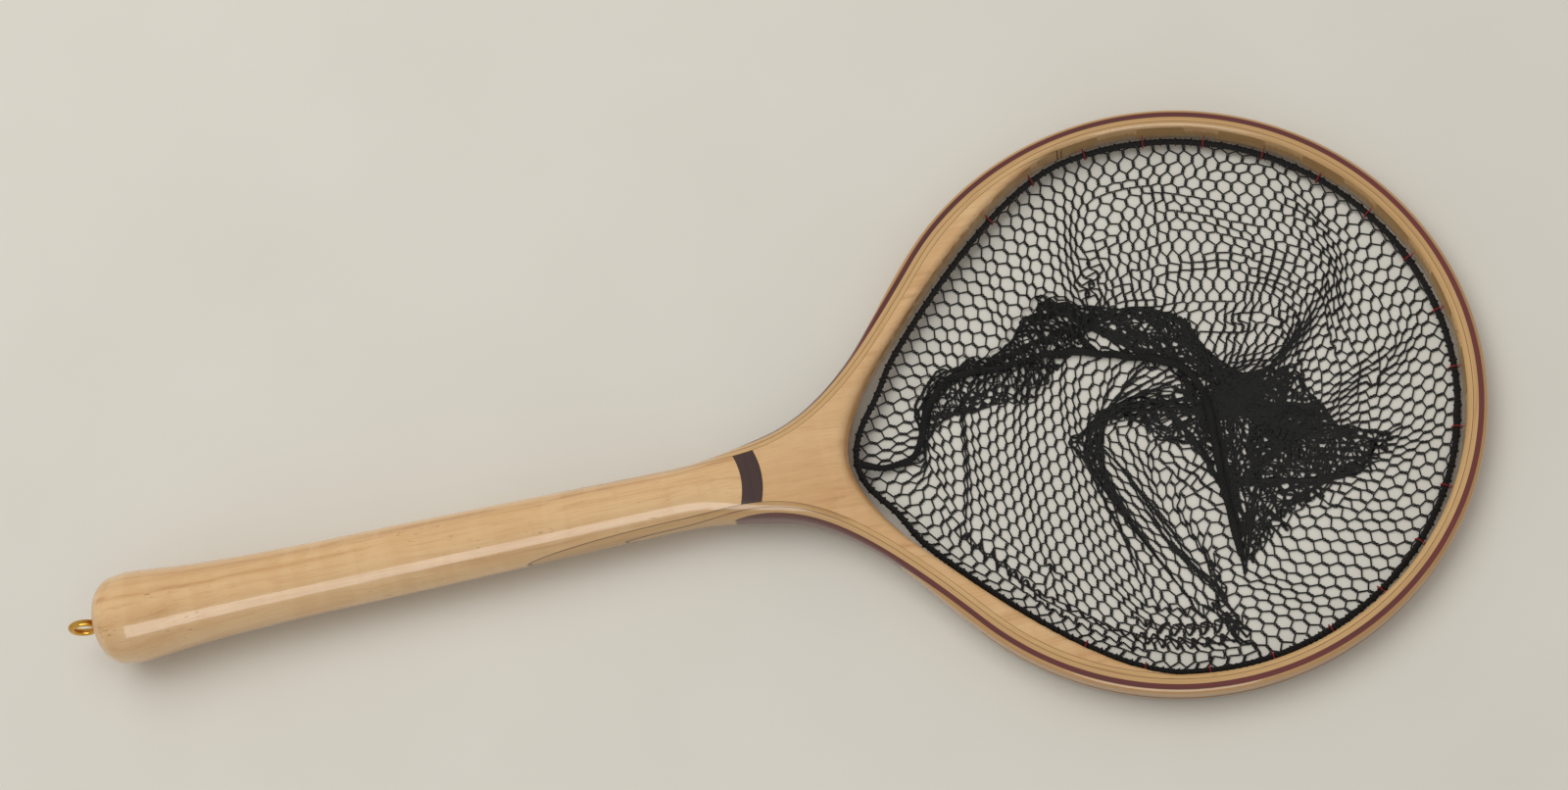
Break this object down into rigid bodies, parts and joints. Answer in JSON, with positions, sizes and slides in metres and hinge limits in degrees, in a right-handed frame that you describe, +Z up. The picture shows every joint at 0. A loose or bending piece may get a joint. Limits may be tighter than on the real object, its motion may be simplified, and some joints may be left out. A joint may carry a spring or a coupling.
{
  "type": "landing net",
  "caption": "Wooden landing net: turned maple grip, laminated teardrop hoop with a red wood strip, laced mesh bag and a brass screw eye in the butt.",
  "frame": {"origin": "middle of the bounding box at table level, with the net lying on a table", "axes": "+X along the handle from the butt to the far side of the hoop, +Y across the hoop, +Z up from the table"},
  "size_m": [0.7076, 0.296, 0.046],
  "materials": {
    "maple": "light maple under gloss varnish",
    "ash": "straight-grained ash under gloss varnish",
    "bloodwood": "dark red wood under gloss varnish",
    "rosewood": "dark brown rosewood under gloss varnish",
    "brass": "polished",
    "black_twine": "black knotless nylon twine",
    "red_thread": "dark red waxed thread"
  },
  "bodies": {
    "net": {"handle_grip": "maple", "accent_band": "rosewood", "throat_block": "maple", "lamination_inner": "ash", "lamination_middle": "ash", "lamination_red": "bloodwood", "lamination_outer": "ash", "header_cord": "black_twine", "lacing_thread": "red_thread", "net_bag": "black_twine", "bag_seam": "black_twine"},
    "eye": {"screw_eye": "brass"}
  },
  "joints": [
    {"name": "eye_turn", "type": "hinge", "parent": "net", "child": "eye", "pos_m": [-0.33717, 0, 0.0234], "axis": [0.9997, 0, -0.0224], "range_deg": [-90, 90]}
  ]
}
